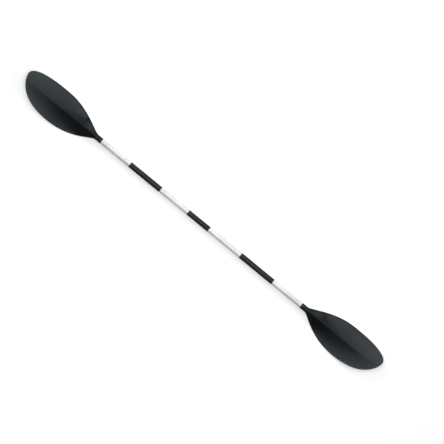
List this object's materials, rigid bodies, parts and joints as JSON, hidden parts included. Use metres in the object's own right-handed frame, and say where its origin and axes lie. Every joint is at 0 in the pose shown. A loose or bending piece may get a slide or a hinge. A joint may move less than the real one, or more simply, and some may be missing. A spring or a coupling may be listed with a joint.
{
  "type": "kayak paddle",
  "caption": "Double-bladed take-apart paddle: spooned black plastic blades, aluminium tubes, rubber grips and a centre connector with snap buttons.",
  "frame": {"origin": "on the shaft's axis, halfway between the two tips", "axes": "+X along the shaft to the right blade's tip, +Y towards the blades' long side, +Z out of the power faces"},
  "size_m": [2.18, 0.1732, 0.0352],
  "materials": {
    "blade_plastic": "satin moulded",
    "connector_plastic": "satin moulded",
    "tube_aluminium": "satin anodised",
    "grip_rubber": "matte",
    "spring_steel": "bright strip",
    "button_steel": "polished dome",
    "plug_foam": "closed-cell foam"
  },
  "bodies": {
    "connector": {"centre_connector": "connector_plastic", "connector_spring_left": "spring_steel", "connector_spring_right": "spring_steel"},
    "connector_button_left": {"connector_button_left": "button_steel"},
    "connector_button_right": {"connector_button_right": "button_steel"},
    "left_shaft": {"tube_left": "tube_aluminium", "grip_left": "grip_rubber", "foam_plugs_left": "plug_foam"},
    "right_shaft": {"tube_right": "tube_aluminium", "grip_right": "grip_rubber", "foam_plugs_right": "plug_foam"},
    "left_blade": {"blade_left": "blade_plastic", "blade_spigot_left": "connector_plastic", "blade_spring_left": "spring_steel"},
    "right_blade": {"blade_right": "blade_plastic", "blade_spigot_right": "connector_plastic", "blade_spring_right": "spring_steel"},
    "blade_button_left": {"blade_button_left": "button_steel"},
    "blade_button_right": {"blade_button_right": "button_steel"}
  },
  "joints": [
    {"name": "left_shaft_pull_off", "type": "slide", "parent": "connector", "child": "left_shaft", "axis": [-1, 0, 0], "range_m": [0, 0.075], "deforming": ["connector_spring_left", "connector_button_left"]},
    {"name": "right_shaft_feather", "type": "hinge", "parent": "connector", "child": "right_shaft", "pos_m": [0.047, 0, 0], "axis": [1, 0, 0], "range_deg": [-60, 60], "deforming": ["connector_spring_right", "connector_button_right"]},
    {"name": "left_blade_pull_off", "type": "slide", "parent": "left_shaft", "child": "left_blade", "axis": [-1, 0, 0], "range_m": [0, 0.075], "deforming": ["blade_spring_left", "blade_button_left"]},
    {"name": "right_blade_pull_off", "type": "slide", "parent": "right_shaft", "child": "right_blade", "axis": [1, 0, 0], "range_m": [0, 0.075], "deforming": ["blade_spring_right", "blade_button_right"]},
    {"name": "connector_button_left_press", "type": "slide", "parent": "connector", "child": "connector_button_left", "axis": [0, 0, 1], "range_m": [0, 0.003], "stiffness_N_per_m": 1500},
    {"name": "connector_button_right_press", "type": "slide", "parent": "connector", "child": "connector_button_right", "axis": [0, 0, 1], "range_m": [0, 0.003], "stiffness_N_per_m": 1500},
    {"name": "blade_button_left_press", "type": "slide", "parent": "left_blade", "child": "blade_button_left", "axis": [0, 0, 1], "range_m": [0, 0.003], "stiffness_N_per_m": 1500},
    {"name": "blade_button_right_press", "type": "slide", "parent": "right_blade", "child": "blade_button_right", "axis": [0, 0, 1], "range_m": [0, 0.003], "stiffness_N_per_m": 1500}
  ]
}
